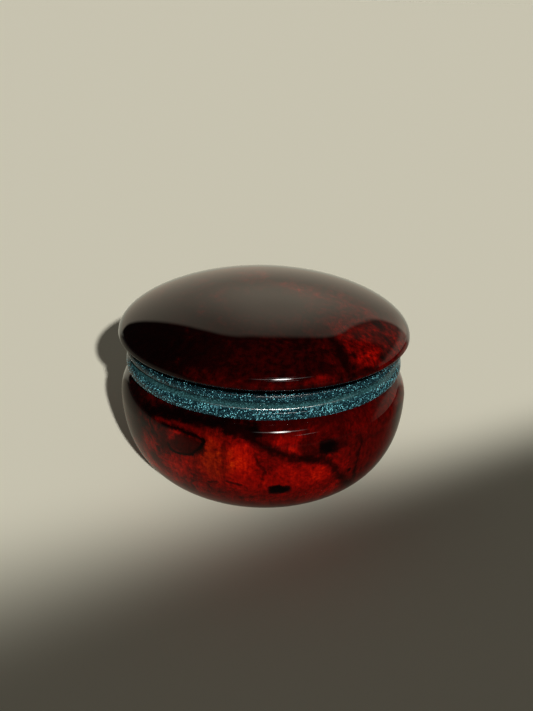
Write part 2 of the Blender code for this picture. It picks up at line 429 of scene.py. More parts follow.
def dyed_alabaster(name, grain_depth, streak_depth, grown, stains, veins, rusty=()):
    """Dyed alabaster: grown clouds all round, and at the front its own stains and veins, one by one.

    Each is drawn in how clear the stone is. Stains are (what, angle, height, half width, half height, lean,
    softness, clearness, strength), veins (what, half width, clearness, strength, places), and rusty spots
    (angle, height, half width, half height), in degrees and millimetres.
    """
    material, tree, shader = lacquered(name, STONE_ROUGHNESS)
    here = tree.nodes.new("ShaderNodeTexCoord").outputs["Object"]
    stone = group_node(tree, body, {"Vector": here, **grown})
    flat = group_node(tree, unrolled, {"Vector": here})
    where, clearness = {"Place": flat["Place"], "Crumb": flat["Crumb"]}, stone["Clearness"]
    for _, angle, height, half_width, half_height, lean, softness, target, strength in stains:
        mask = group_node(tree, stain, {
            **where, "Centre": spot(angle, height), "Lean": math.radians(lean), "Softness": softness,
            "Half size": (half_width * MM, half_height * MM, 1.0)})["Mask"]
        clearness = drawn_to(tree, clearness, target, maths(tree, "MULTIPLY", mask, strength))
    for _, half_width, target, strength, bends in veins:
        masks = [group_node(tree, vein, {**where, "Start": spot(*start), "End": spot(*end),
                                         "Half width": half_width * MM})["Mask"]
                 for start, end in zip(bends, bends[1:])]
        whole = masks[0]
        for mask in masks[1:]:
            whole = maths(tree, "MAXIMUM", whole, mask)
        clearness = drawn_to(tree, clearness, target, maths(tree, "MULTIPLY", whole, strength))
    thin = vectors(tree, "DIVIDE", flat["Place"], (STREAK_WIDTH, STREAK_LENGTH, 1.0))
    streak = swaying(tree, thin, size=1.0, detail=3.0)
    streak = maths(tree, "MULTIPLY", streak, maths(tree, "MULTIPLY", flat["Upright"], streak_depth))
    uneven = maths(tree, "ADD", maths(tree, "MULTIPLY", stone["Grain"], grain_depth), streak)
    clearness = maths(tree, "MULTIPLY", clearness, maths(tree, "ADD", uneven, 1.0))
    colour = banded(tree, clearness, DYE)
    for angle, height, half_width, half_height in rusty:
        mask = group_node(tree, stain, {
            **where, "Centre": spot(angle, height), "Softness": RUST_SOFTNESS,
            "Half size": (half_width * MM, half_height * MM, 1.0)})["Mask"]
        colour = blended(tree, mask, colour, vectors(tree, "MULTIPLY", colour, RUST))
    tree.links.new(colour, shader.inputs["Base Color"])
    return material


bowl_stone = dyed_alabaster("dyed_alabaster", grain_depth=1.1, streak_depth=0.45, grown={
    "Seed": 2.4, "Darkest": 0.12, "Clearest": 0.86}, stains=[
    ("red ground", 2, 24, 32, 15, 0, 0.5, 0.50, 0.85),
    # Painted shade: a dark band round the front just under the lower ring
    ("shade under the ring", 5, 38.8, 64, 3.4, 0, 0.5, 0.27, 0.92),
    ("right dusk", 46, 26, 14, 15, 0, 0.5, 0.38, 0.85),
    ("foot shade", 0, 7, 60, 7, 0, 0.6, 0.51, 0.75),
    ("dark column", -38, 29, 1.6, 4.5, 0, 0.6, 0.22, 0.7),
    ("ember", -45, 24.4, 2, 2.6, 0, 0.6, 0.60, 0.85),
    ("ember shade", -46, 20.4, 2.2, 2, 0, 0.6, 0.24, 0.7),
    ("low red left", -34, 21, 6.4, 3.8, -20, 0.6, 0.65, 0.9),
    ("brown cloud", -17.8, 26.2, 4.4, 6.8, 0, 0.5, 0.68, 0.9),
    ("orange glow", -7.7, 26.6, 5, 7, 0, 0.35, 0.67, 0.95),
    ("orange heart", -8.4, 27.5, 2.8, 3.6, 0, 0.7, 0.78, 0.9),
    ("under the glow", -5, 20.6, 9, 3.4, 0, 0.6, 0.62, 0.88),
    ("upper glow", 8.4, 32.8, 4.6, 2.1, -12, 0.5, 0.59, 0.9),
    ("upper spot", 10.3, 31, 1.5, 0.9, 0, 0.6, 0.75, 0.9),
    ("streaked dark", 16.9, 30.9, 3.4, 3.8, 0, 0.5, 0.26, 0.85),
    ("round the blot", 25, 33.4, 6, 3, 0, 0.6, 0.33, 0.75),
    ("low glow", 13.3, 21.9, 11.5, 4.4, -4, 0.4, 0.61, 0.92),
    ("low orange", 22, 22, 2.8, 1.9, 0, 0.7, 0.72, 0.9),
    ("right glow", 31, 24, 3, 4, 0, 0.6, 0.50, 0.8),
    ("eye", -27.8, 29.7, 6, 3, -6, 0.22, 0.24, 0.92),
    ("blot", 24.4, 30.6, 2.8, 2.3, 12, 0.5, 0.0, 0.95),
    ("blot tail", 28.8, 30.2, 2, 1.2, 0, 0.6, 0.18, 0.7),
    ("lozenge", 6.4, 17.6, 2.7, 1.7, -6, 0.35, 0.0, 0.97),
    ("lozenge tip", 8.6, 17.4, 2, 1.3, -6, 0.4, 0.02, 0.95),
    ("left dusk", -57, 29, 5, 8, 0, 0.6, 0.18, 0.88),
    ("left shoulder", -74, 33, 14, 7, 0, 0.5, 0.10, 0.92),
    ("small spot", 35, 20.2, 0.8, 0.8, 0, 0.5, 0.10, 0.8),
], veins=[
    ("black band", 1.5, 0.02, 0.95, [(-50, 34.6), (-36, 36.4), (-23, 37.1), (-12, 36.8), (-3, 36.6)]),
    ("red strip", 0.45, 0.48, 0.8, [(-43, 34), (-35, 34.7), (-28, 34.8), (-22, 34.5), (-14, 34.2)]),
    ("eyelid", 0.50, 0.03, 0.92, [(-39, 33.2), (-32, 33.5), (-26, 33.3), (-21, 32.6)]),
    ("eye's edge", 0.30, 0.05, 0.9, [
        (-36, 28), (-35, 26.4), (-31, 26), (-26.5, 26.8), (-21.8, 30.3), (-20.5, 32.5)]),
    ("long vein", 1, 0.12, 0.85, [
        (-12, 36.4), (-7, 35.5), (-2.8, 33.9), (2.8, 32), (6.2, 30.6), (10.7, 28.9), (16, 27.9),
        (23, 26.8)]),
    ("edge of the glow", 0.50, 0.38, 0.55, [(-13.3, 32.6), (-12.8, 28.6), (-14.1, 23.3)]),
    ("right vein", 0.45, 0.14, 0.7, [
        (38, 31), (39.2, 28.4), (37.8, 26), (38.8, 22.6), (38.2, 19), (40, 15.7)]),
    ("fork", 0.9, 0.14, 0.75, [(24.5, 25.5), (28, 22.7), (31.7, 18.4), (37.6, 14), (41, 11.8)]),
    ("left dash", 0.35, 0.16, 0.6, [(-20, 18.4), (-16.5, 19.2)]),
    ("right dash", 0.35, 0.16, 0.6, [(-12.3, 20), (-7.5, 19.2)]),
    ("web", 0.40, 0.28, 0.75, [(-2.4, 30), (-1, 27), (1.4, 24.6), (0.4, 21.6)]),
], rusty=[(-18, 27, 5, 7)])
bowl = turned_piece("alabaster_bowl", bowl_stone, (0.0, BOWL_FLOOR), [
    ((FULL_RADIUS - BOWL_WALL, BELLY_HEIGHT), ((0.80, 0.0), (1.0, 0.30))),
    ((MOUTH_RADIUS, BOWL_RIM_HEIGHT), ((0.0, 0.40), (0.70, 0.75))),
    ((RIM_RADIUS, BOWL_RIM_HEIGHT), STRAIGHT),
    ((FULL_RADIUS, BELLY_HEIGHT), ((0.63, 0.16), (1.0, 0.62))),
    ((FOOT_RADIUS, bowl_low.z), ((0.0, 0.54), (0.31, 0.86))),
    ((0.0, bowl_low.z), STRAIGHT),
])
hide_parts("bowl")
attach(bowl, "root")


# The lower ring
# A half-round ring of clear resin full of fine teal glitter, cast on the bowl's rim, with a thin lip that
# stands up inside the upper ring and keeps the lid in place. Towards the top of its face it is painted a
# smooth teal with dimmer flakes, a painted sheen of soft light on the resin, and higher still it darkens
# with painted shade under the upper ring.
lower_low, lower_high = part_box("bowl_ring")
BAND_RADIUS = lower_high.x
LOWER_FACE_HEIGHT = 0.0050
LOWER_FULLEST = 0.0013
LOWER_CROWN = 0.0024
UNDERCUT = 0.0005
LIP_THICKNESS = 0.0024
BARE_EDGE = 0.0002
SMOOTH_ABOVE = 0.0034
SHADED_ABOVE = 0.0041
# Over this height the crown's painted sheen fades in
CROWN_FADE = 0.0005
LOWER_SPACING = 0.00034
LOWER_FLAKE_RADIUS = 0.000165
lower_face_top = lower_low.z + LOWER_FACE_HEIGHT
smooth_line = lower_low.z + SMOOTH_ABOVE
shade_line = lower_low.z + SHADED_ABOVE

FINE_GLITTER = 0.00020
RESIN_DARK = (0.002, 0.007, 0.011)
RESIN_TEAL = (0.016, 0.060, 0.072)
# The lower ring's crown: a smooth teal that is a painted sheen of soft light on the resin
SHEEN_TEAL = (0.025, 0.079, 0.084)
DARK_SHARE = 0.50
TEAL_FROM = 0.85
RESIN_ROUGHNESS = 0.35
UNEVEN_SIZE = 0.00045
UNEVEN_NOISE = (0.35, 0.65)
UNEVEN_LIGHT = (0.3, 1.7)
# Painted shade under the piece above: the resin darkens to this share over this depth below its top
SHADE_DEPTH = 0.0012
SHADE = 0.25


def glitter_resin(name, crown, share, crown_start, crown_end, top, seed):
    """Clear resin over dark paint, clouded with glitter dust that lies too deep to sparkle.

    Between the two heights, this share of the dust gives way to the crown's colour, painted light: a sheen
    of soft light on the lower ring and shade under the lid on the upper one. It darkens up to its top,
    painted shade under the piece above it.
    """
    material, tree, shader = lacquered(name, RESIN_ROUGHNESS)
    here = tree.nodes.new("ShaderNodeTexCoord").outputs["Object"]
    cells = add(tree, "ShaderNodeTexVoronoi", {"Vector": here, "Scale": 1.0 / FINE_GLITTER, "W": seed},
                voronoi_dimensions="4D").outputs["Color"]
    lot = add(tree, "ShaderNodeSeparateColor", {"Color": cells}).outputs
    dust = banded(tree, lot["Red"], [
        (0.0, RESIN_DARK), (DARK_SHARE, RESIN_DARK), (TEAL_FROM, RESIN_TEAL), (1.0, RESIN_TEAL)])
    height = add(tree, "ShaderNodeSeparateXYZ", {"Vector": here}).outputs["Z"]
    # The crown's colour is painted light: a sheen on the lower ring, shade under the lid on the upper one
    painted_crown = remapped(tree, height, crown_start, crown_end, 0.0, share, smooth=True)
    uneven = noise(tree, here, UNEVEN_SIZE, detail=4.0, roughness=0.7, seed=seed)["Fac"]
    uneven = remapped(tree, uneven, *UNEVEN_NOISE, *UNEVEN_LIGHT)
    shade = remapped(tree, height, top - SHADE_DEPTH, top, 1.0, SHADE, smooth=True)
    colour = vectors(tree, "SCALE", blended(tree, painted_crown, dust, (*crown, 1.0)),
                     scale=maths(tree, "MULTIPLY", uneven, shade))
    tree.links.new(colour, shader.inputs["Base Color"])
    return material


# Each flake draws a number. Its tint is the last of these whose value is above that number.
FLAKE_LOTS = (("Faint", 1.01), ("Dim", 0.58), ("Teal", 0.33), ("Bright", 0.15))


def flakes_tree():
    """Geometry nodes that lay thin six-sided flakes flat on a ring's outer face, in four tints at random."""
    tree = bpy.data.node_groups.new("Flakes in the resin", "GeometryNodeTree")
    tree_sockets(tree,
                 [("Ring", "NodeSocketGeometry", None), ("Spacing", "NodeSocketFloat", 0.0003),
                  ("Crowding", "NodeSocketFloat", 1e8), ("Flake radius", "NodeSocketFloat", 0.00014),
                  ("Thickness", "NodeSocketFloat", 0.00002), ("Smallest", "NodeSocketFloat", 0.7),
                  ("Largest", "NodeSocketFloat", 1.2), ("Lowest", "NodeSocketFloat", 0.0),
                  ("Highest", "NodeSocketFloat", 1.0), ("Seed", "NodeSocketInt", 0),
                  ("Bright", "NodeSocketMaterial", None), ("Teal", "NodeSocketMaterial", None),
                  ("Dim", "NodeSocketMaterial", None), ("Faint", "NodeSocketMaterial", None)],
                 [("Geometry", "NodeSocketGeometry")])
    given = tree.nodes.new("NodeGroupInput").outputs
    facing = tree.nodes.new("GeometryNodeInputNormal").outputs["Normal"]
    place = tree.nodes.new("GeometryNodeInputPosition").outputs["Position"]
    level = vectors(tree, "MULTIPLY", facing, (1.0, 1.0, 0.0))
    outward = maths(tree, "GREATER_THAN", vectors(tree, "DOT_PRODUCT", level, place), 0.0)
    scattered = add(tree, "GeometryNodeDistributePointsOnFaces", {
        "Mesh": given["Ring"], "Selection": outward,
        "Distance Min": given["Spacing"], "Density Max": given["Crowding"], "Seed": given["Seed"]},
        distribute_method="POISSON").outputs
    flake = add(tree, "GeometryNodeMeshCylinder", {
        "Vertices": 6, "Radius": given["Flake radius"], "Depth": given["Thickness"]}).outputs["Mesh"]
    size = add(tree, "FunctionNodeRandomValue", {
        "Min": given["Smallest"], "Max": given["Largest"], "Seed": given["Seed"]}).outputs["Value"]
    height = add(tree, "ShaderNodeSeparateXYZ", {"Vector": place}).outputs["Z"]
    inside = maths(tree, "MULTIPLY", maths(tree, "GREATER_THAN", height, given["Lowest"]),
                   maths(tree, "LESS_THAN", height, given["Highest"]))
    laid = add(tree, "GeometryNodeInstanceOnPoints", {
        "Points": scattered["Points"], "Selection": inside, "Instance": flake,
        "Rotation": scattered["Rotation"],
        "Scale": add(tree, "ShaderNodeCombineXYZ", {"X": size, "Y": size, "Z": 1.0}).outputs["Vector"]})
    whole = add(tree, "GeometryNodeRealizeInstances", {"Geometry": laid.outputs["Instances"]})
    island = tree.nodes.new("GeometryNodeInputMeshIsland").outputs["Island Index"]
    lot = add(tree, "FunctionNodeRandomValue", {"ID": island, "Seed": given["Seed"]}).outputs["Value"]
    made = whole.outputs["Geometry"]
    for tint, value in FLAKE_LOTS:
        made = add(tree, "GeometryNodeSetMaterial", {
            "Geometry": made, "Selection": maths(tree, "LESS_THAN", lot, value),
            "Material": given[tint]}).outputs["Geometry"]
    add(tree, "NodeGroupOutput", {"Geometry": made})
    return tree


flakes_in_resin = flakes_tree()
FLAKE_TINTS = {"Bright": (0.16, 0.50, 0.57), "Teal": (0.080, 0.25, 0.305), "Dim": (0.018, 0.068, 0.086),
               "Faint": (0.004, 0.014, 0.020)}
# Dimmer flakes under the painted sheen of the lower ring's crown
SHEEN_TINTS = {"Bright": (0.050, 0.155, 0.170), "Teal": (0.033, 0.105, 0.115),
              "Dim": (0.020, 0.064, 0.070), "Faint": (0.010, 0.034, 0.038)}
# Flakes darkened with painted shade under the upper ring
SHADED_TINTS = {"Bright": (0.042, 0.135, 0.150), "Teal": (0.022, 0.072, 0.080),
                "Dim": (0.008, 0.026, 0.030), "Faint": (0.002, 0.008, 0.010)}
FLAKE_ROUGHNESS = 0.4


def flake_finishes(kind, tints):
    """One lacquered material for each tint of flake."""
    finishes = {}
    for tint, colour in tints.items():
        finishes[tint], _, shader = lacquered(kind + tint.lower() + "_flake", FLAKE_ROUGHNESS)
        shader.inputs["Base Color"].default_value = (*colour, 1.0)
    return finishes


glitter_flakes = flake_finishes("", FLAKE_TINTS)
# Flakes under the painted sheen
sheen_flakes = flake_finishes("sheen_", SHEEN_TINTS)
shaded_flakes = flake_finishes("shaded_", SHADED_TINTS)


def flaked(name, ring, finishes, lowest, highest, spacing, radius, seed):
    """The flakes on one ring's outer face between two heights, as a piece of their own."""
    carrier = bpy.data.objects.new(name, ring.data.copy())
    bpy.context.scene.collection.objects.link(carrier)
    return made_plain(carrier, name, flakes_in_resin, {
        "Spacing": spacing, "Flake radius": radius, "Seed": seed, "Lowest": lowest, "Highest": highest,
        **finishes})


# Its crown is painted a smooth teal, a painted sheen of soft light on the resin
lower_resin = glitter_resin("teal_resin", SHEEN_TEAL, share=0.65, crown_start=smooth_line - CROWN_FADE,
                            crown_end=smooth_line, top=lower_face_top, seed=1.0)
lower_ring = turned_piece("lower_glitter_ring", lower_resin, (MOUTH_RADIUS, lower_high.z), [
    ((MOUTH_RADIUS + LIP_THICKNESS, lower_high.z), STRAIGHT),
    ((MOUTH_RADIUS + LIP_THICKNESS, lower_face_top), STRAIGHT),
    ((BAND_RADIUS - LOWER_CROWN, lower_face_top), STRAIGHT),
    ((BAND_RADIUS, lower_low.z + LOWER_FULLEST), ((0.56, 0.16), (1.0, 0.60))),
    ((BAND_RADIUS - UNDERCUT, lower_low.z), ((0.0, 0.50), (0.40, 1.0))),
    ((MOUTH_RADIUS, lower_low.z), STRAIGHT),
    ((MOUTH_RADIUS, lower_high.z), STRAIGHT),
], closed=True)
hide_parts("bowl_ring")
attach(lower_ring, "root")

lower_flakes = []
for name, finishes, lowest, highest, seed in (
        ("lower_ring_flakes", glitter_flakes, lower_low.z + BARE_EDGE, smooth_line, 3),
        # Dimmer flakes under the crown's painted sheen
        ("lower_crown_flakes", sheen_flakes, smooth_line, shade_line, 6),
        # Flakes in painted shade under the upper ring
        ("lower_top_flakes", shaded_flakes, shade_line, lower_face_top - BARE_EDGE, 9)):
    flakes = flaked(name, lower_ring, finishes, lowest, highest, LOWER_SPACING, LOWER_FLAKE_RADIUS, seed)
    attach(flakes, "root")
    lower_flakes.append(flakes)


# The upper ring
# A slimmer band of the same glitter resin, fixed under the lid. The box opens at the dark, hair-wide gap
# below it. Its uppermost edge is painted near black and its top darkens, painted shade under the lid, and
# its heel holds no flakes, painted shade along the gap.
upper_low, upper_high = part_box("lid_ring")
UPPER_CROWN = 0.0008
UPPER_FULLEST = 0.0012
# Painted shade: flakes stop short of the top edge, which is painted near black as shade under the lid, and
# of the heel, which is left dark as shade along the gap below the ring
DARK_CROWN = 0.00005
UPPER_CROWN_FADE = 0.0001
GAP_SHADE_HEEL = 0.0005
LIP_CLEARANCE = 0.0003
UPPER_SPACING = 0.00050
UPPER_FLAKE_RADIUS = 0.000155
# Painted shade under the lid, on the ring's uppermost edge
UNDER_LID_SHADE = (0.001, 0.003, 0.004)
upper_bore = MOUTH_RADIUS + LIP_THICKNESS + LIP_CLEARANCE
crown_line = upper_high.z - DARK_CROWN

# Its crown colour is painted shade under the lid
upper_resin = glitter_resin("teal_resin_shaded_under_lid", UNDER_LID_SHADE, share=1.0,
                            crown_start=crown_line - UPPER_CROWN_FADE, crown_end=crown_line,
                            top=upper_high.z, seed=5.0)
upper_ring = turned_piece("upper_glitter_ring", upper_resin, (upper_bore, upper_high.z), [
    ((BAND_RADIUS - UPPER_CROWN, upper_high.z), STRAIGHT),
    ((BAND_RADIUS, upper_low.z + UPPER_FULLEST), ((0.70, 0.10), (1.0, 0.50))),
    ((BAND_RADIUS - UNDERCUT, upper_low.z), ((0.0, 0.50), (0.40, 1.0))),
    ((upper_bore, upper_low.z), STRAIGHT),
    ((upper_bore, upper_high.z), STRAIGHT),
], closed=True)
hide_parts("lid_ring")
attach(upper_ring, "root")

upper_flakes = flaked("upper_ring_flakes", upper_ring, glitter_flakes, upper_low.z + GAP_SHADE_HEEL, crown_line,
                      UPPER_SPACING, UPPER_FLAKE_RADIUS, seed=8)
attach(upper_flakes, "root")


# The lid
# A low dome turned from a darker piece of the same stone, with a thick rounded edge and hollowed inside. It
# lies loose on the lip, and takes the same red dye and clear lacquer as the bowl.
lid_low, lid_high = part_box("lid")
EDGE_RISE = 0.0025
SEAT_RADIUS = 0.0413
BORE_DEPTH = 0.0015
CROWN_THICKNESS = 0.0050
edge_height = lid_low.z + EDGE_RISE

lid_stone = dyed_alabaster("dark_dyed_alabaster", grain_depth=2.3, streak_depth=0.5, grown={
    "Seed": 11.0, "Grain size": 1.6 * MM, "Cloud size": 17 * MM, "Vein spacing": 30 * MM,
    "Vein width": 0.02, "Darkest": 0.04, "Clearest": 0.46}, stains=[
    ("dark front", -4, 56, 32, 9, 0, 0.4, 0.13, 0.85),
    ("dull maroon", 5, 54, 20, 5, 0, 0.7, 0.21, 0.8),
    ("black left", -58, 54, 27, 8, 0, 0.5, 0.03, 0.95),
    ("red right", 46, 55, 13.5, 6.5, 0, 0.4, 0.38, 0.92),
    ("right heart", 44, 54, 5.5, 2.8, 0, 0.7, 0.49, 0.85),
    ("right core", 45, 53.7, 2.8, 1.2, 0, 0.7, 0.58, 0.75),
    ("right end", 66, 53.5, 7, 5, 0, 0.6, 0.43, 0.9),
    ("dark back right", 130, 60, 38, 7, 0, 0.5, 0.10, 0.8),
    ("dark patch", 31.5, 55, 2, 4, 8, 0.7, 0.08, 0.8),
    ("under the red", 36.5, 51.1, 5.5, 0.9, 0, 0.5, 0.12, 0.85),
    ("right blot", 49.2, 52.8, 1.5, 0.8, 0, 0.8, 0.08, 0.85),
    ("right streak", 58.5, 54.7, 0.9, 1.5, 0, 0.6, 0.15, 0.8),
    ("first fleck", 36.7, 54.9, 0.7, 0.6, 0, 0.9, 0.14, 0.75),
    ("second fleck", 34.4, 53.1, 1, 0.5, 0, 0.6, 0.12, 0.8),
    ("dark top", 64, 57.5, 2.2, 0.9, 0, 0.6, 0.14, 0.75),
    ("dim ember", 27.6, 53.1, 1.7, 0.7, 0, 0.6, 0.36, 0.75),
    ("lower edge", 8, 50.6, 20, 1.5, 0, 0.6, 0.31, 0.85),
    ("lower ember", 20, 51.4, 4, 1, 0, 0.6, 0.42, 0.8),
    ("left ember", -20, 51.8, 6, 1.6, 0, 0.8, 0.30, 0.75),
], veins=[])
lid = turned_piece("alabaster_lid", lid_stone, (0.0, lid_high.z), [
    ((FULL_RADIUS, edge_height), ((0.49, 0.0), (1.0, 0.55))),
    ((SEAT_RADIUS, lid_low.z), ((0.0, 0.30), (0.50, 0.74))),
    ((upper_bore, lid_low.z), STRAIGHT),
    ((upper_bore, lid_low.z + BORE_DEPTH), STRAIGHT),
    ((0.0, lid_high.z - CROWN_THICKNESS), ((0.0, 0.50), (0.50, 1.0))),
])
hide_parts("lid")
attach(lid, "root")


# The floor
# A plain pale table top, larger than any view takes in. The lacquer mirrors it dimmer than it looks, but
# far behind the box without any shadow, as far as the foot of the rear panel.
FLOOR_HALF_WIDTH = 30.0
FLOOR_TINT = (0.90, 0.885, 0.745, 1.0)
FLOOR_ROUGHNESS = 0.9
LIT_FLOOR = (0.572, 0.545, 0.431, 1.0)
BLACK = (0.0, 0.0, 0.0, 1.0)
# In the lacquer it darkens between these two reaches
MIRRORED_TINT = (0.38, 0.35, 0.275, 1.0)
UNLIT_TINT = (0.04, 0.04, 0.04, 1.0)
LIT_REACH = 0.12
UNLIT_REACH = 0.60
# Behind the box, where this share of the way out leads straight back, it glows past the box's shadow
BEHIND = 0.66
STRAIGHT_BEHIND = 0.78
SHADOW_KEPT = 0.09
SHADOW_LOST = 0.13
REAR_PANEL_DISTANCE = 1.0
PANEL_FOOT_SOFTNESS = 0.03

bpy.ops.mesh.primitive_plane_add(size=2 * FLOOR_HALF_WIDTH)
floor = bpy.context.object
floor.name = "floor"
paint = bpy.data.materials.new("pale_table")
paint.use_nodes = True
tree = paint.node_tree
place = tree.nodes.new("ShaderNodeTexCoord").outputs["Object"]
out = vectors(tree, "LENGTH", place)
back = maths(tree, "DIVIDE", add(tree, "ShaderNodeSeparateXYZ", {"Vector": place}).outputs["Y"], out)
near = blended(tree, remapped(tree, out, LIT_REACH, UNLIT_REACH), MIRRORED_TINT, UNLIT_TINT)
behind = remapped(tree, back, BEHIND, STRAIGHT_BEHIND)
far_behind = maths(tree, "MULTIPLY", behind, remapped(tree, out, SHADOW_KEPT, SHADOW_LOST))
mirrored = blended(tree, far_behind, blended(tree, behind, near, FLOOR_TINT), BLACK)
in_mirror = tree.nodes.new("ShaderNodeLightPath").outputs["Is Glossy Ray"]
shader = tree.nodes["Principled BSDF"]
tree.links.new(blended(tree, in_mirror, FLOOR_TINT, mirrored), shader.inputs["Base Color"])
shader.inputs["Emission Color"].default_value = LIT_FLOOR
before_panel = remapped(tree, out, REAR_PANEL_DISTANCE - PANEL_FOOT_SOFTNESS, REAR_PANEL_DISTANCE, 1.0, 0.0)
glowing = maths(tree, "MULTIPLY", in_mirror, maths(tree, "MULTIPLY", far_behind, before_panel))
tree.links.new(glowing, shader.inputs["Emission Strength"])
shader.inputs["Roughness"].default_value = FLOOR_ROUGHNESS
shader.inputs["Specular IOR Level"].default_value = 0.0
floor.data.materials.append(paint)


# The lights
# A low key light from the front right, which a card keeps off the floor in front of the box. Slim panels a
# little above it draw a fine line along each rounded edge, soft panels behind and beside the box are what
# the lid mirrors, and a wide light above the back fills the shadows.
KEY_ANGLE = 16.5
KEY_ELEVATION = 25.5
KEY_STRENGTH = 4.1
KEY_SOFTNESS = 1.3
KEY_TINT = (1.0, 0.97, 0.92)
LAMP_DISTANCE = 0.9
FILL_ANGLE = 180.0
FILL_ELEVATION = 55.0
FILL_STRENGTH = 1.2
FILL_SPREAD = 60.0
CARD_DISTANCE = 0.7
CARD_SIZE = 1.5
CARD_MARGIN = 0.2
# The edge of the card's shadow: a point on it, the way it runs, and how wide it blurs at its two sides
CARD_SHADOW_FRONT = Vector((0.0, -0.0255, 0.0))
CARD_SHADOW_RUN = Vector((0.88, 0.465, 0.0))
SHADOW_SOFTNESS_LEFT = 0.070
SHADOW_SOFTNESS_RIGHT = 0.025
SHADOW_SIDES = 0.09
SHADOW_DEPTH = 0.16
SHADOW_GONE = 0.50
# The panels and the dark room round them
GLINT_ANGLE = 15.5
GLINT_CORNERS = 8
PANEL_TINT = (1.0, 0.86, 0.66, 1.0)
PANEL_RINGS = 16
PANEL_BEND_POINTS = 6
ROOM_LIGHT = (0.075, 0.070, 0.062, 1.0)
MIRRORED_ROOM = (0.008, 0.0075, 0.007, 1.0)


def towards(angle, elevation):
    """The unit direction from the box at this angle round it and this elevation, in degrees."""
    turn, rise = math.radians(angle), math.radians(elevation)
    return Vector((math.sin(turn) * math.cos(rise), -math.cos(turn) * math.cos(rise), math.sin(rise)))


def lamp(name, direction):
    """A sun lamp aimed at the middle of the box, which neither the camera nor the lacquer sees."""
    light = bpy.data.objects.new(name, bpy.data.lights.new(name, "SUN"))
    light.location = Vector((0.0, 0.0, cad_high.z / 2)) + direction * LAMP_DISTANCE
    light.rotation_mode = "QUATERNION"
    light.rotation_quaternion = direction.to_track_quat("Z", "Y")
    light.visible_camera = False
    light.visible_glossy = False
    bpy.context.scene.collection.objects.link(light)
    return light


def staged_sheet(name, corners, faces):
    """An open sheet beside the set that no camera sees."""
    mesh = bpy.data.meshes.new(name)
    mesh.from_pydata(corners, [], faces)
    sheet = bpy.data.objects.new(name, mesh)
    bpy.context.scene.collection.objects.link(sheet)
    sheet.visible_camera = False
    return sheet


towards_key = towards(KEY_ANGLE, KEY_ELEVATION)
key = lamp("key", towards_key)
key.data.energy = KEY_STRENGTH
key.data.angle = math.radians(KEY_SOFTNESS)
key.data.color = KEY_TINT

# The card lets light through at its soft near edge and, further out, more and more
card_middle = CARD_SHADOW_FRONT + towards_key * CARD_DISTANCE
card_run = CARD_SHADOW_RUN.normalized()
card_fall = card_run.cross(towards_key).normalized()
sides = [card_middle + CARD_SIZE * (across * card_run + out * card_fall)
         for across, out in ((-1, -CARD_MARGIN), (1, -CARD_MARGIN), (1, 1), (-1, 1))]
card = staged_sheet("card", sides, [(0, 1, 2, 3)])
black = bpy.data.materials.new("soft_edged_card")
black.use_nodes = True
tree = black.node_tree
tree.nodes.clear()
place = vectors(tree, "SUBTRACT", tree.nodes.new("ShaderNodeTexCoord").outputs["Object"], card_middle)
along = vectors(tree, "DOT_PRODUCT", place, card_run)
on_floor = maths(tree, "DIVIDE", vectors(tree, "DOT_PRODUCT", place, card_fall), towards_key.z)
soft = remapped(tree, along, -SHADOW_SIDES, SHADOW_SIDES, SHADOW_SOFTNESS_LEFT, SHADOW_SOFTNESS_RIGHT)
begun = remapped(tree, maths(tree, "DIVIDE", on_floor, soft), -0.5, 0.5, smooth=True)
ended = remapped(tree, on_floor, SHADOW_DEPTH, SHADOW_GONE, 1.0, 0.0, smooth=True)
shade = add(tree, "ShaderNodeMixShader", {
    0: maths(tree, "MULTIPLY", begun, ended), 1: tree.nodes.new("ShaderNodeBsdfTransparent").outputs[0],
    2: add(tree, "ShaderNodeBsdfDiffuse", {"Color": BLACK}).outputs[0]})
add(tree, "ShaderNodeOutputMaterial", {"Surface": shade.outputs[0]})
card.data.materials.append(black)
card.visible_glossy = False
card.visible_diffuse = False


def lit_alone(name, pieces):
    """A collection of the only pieces that a light falls on."""
    made = bpy.data.collections.new(name)
    for piece in pieces:
        made.objects.link(piece)
    return made


both_rings = [lower_ring, *lower_flakes, upper_ring, upper_flakes]
on_bowl = lit_alone("glints_on_bowl", [bowl])
on_lid = lit_alone("glints_on_lid", [lid])
on_rings = lit_alone("glints_on_rings", both_rings)

fill = lamp("fill", towards(FILL_ANGLE, FILL_ELEVATION))
fill.data.energy = FILL_STRENGTH
fill.data.angle = math.radians(FILL_SPREAD)
fill.light_linking.receiver_collection = lit_alone("lit_from_behind", [bowl, *both_rings, lid])


def rounded(outline):
    """A closed outline's points, with its corners rounded off."""
    curve = bpy.data.curves.new("panel_outline", "CURVE")
    curve.resolution_u = PANEL_BEND_POINTS
    spline = curve.splines.new("BEZIER")
    spline.bezier_points.add(len(outline) - 1)
    spline.use_cyclic_u = True
    for knot, (aside, up) in zip(spline.bezier_points, outline):
        knot.co = (aside, up, 0.0)
        knot.handle_left_type = knot.handle_right_type = "AUTO"
    guide = bpy.data.objects.new("panel_outline", curve)
    bpy.context.scene.collection.objects.link(guide)
    line = bpy.data.meshes.new_from_object(guide.evaluated_get(bpy.context.evaluated_depsgraph_get()))
    border = [(vertex.co.x, vertex.co.y) for vertex in line.vertices]
    bpy.data.objects.remove(guide)
    bpy.data.meshes.remove(line)
    return border


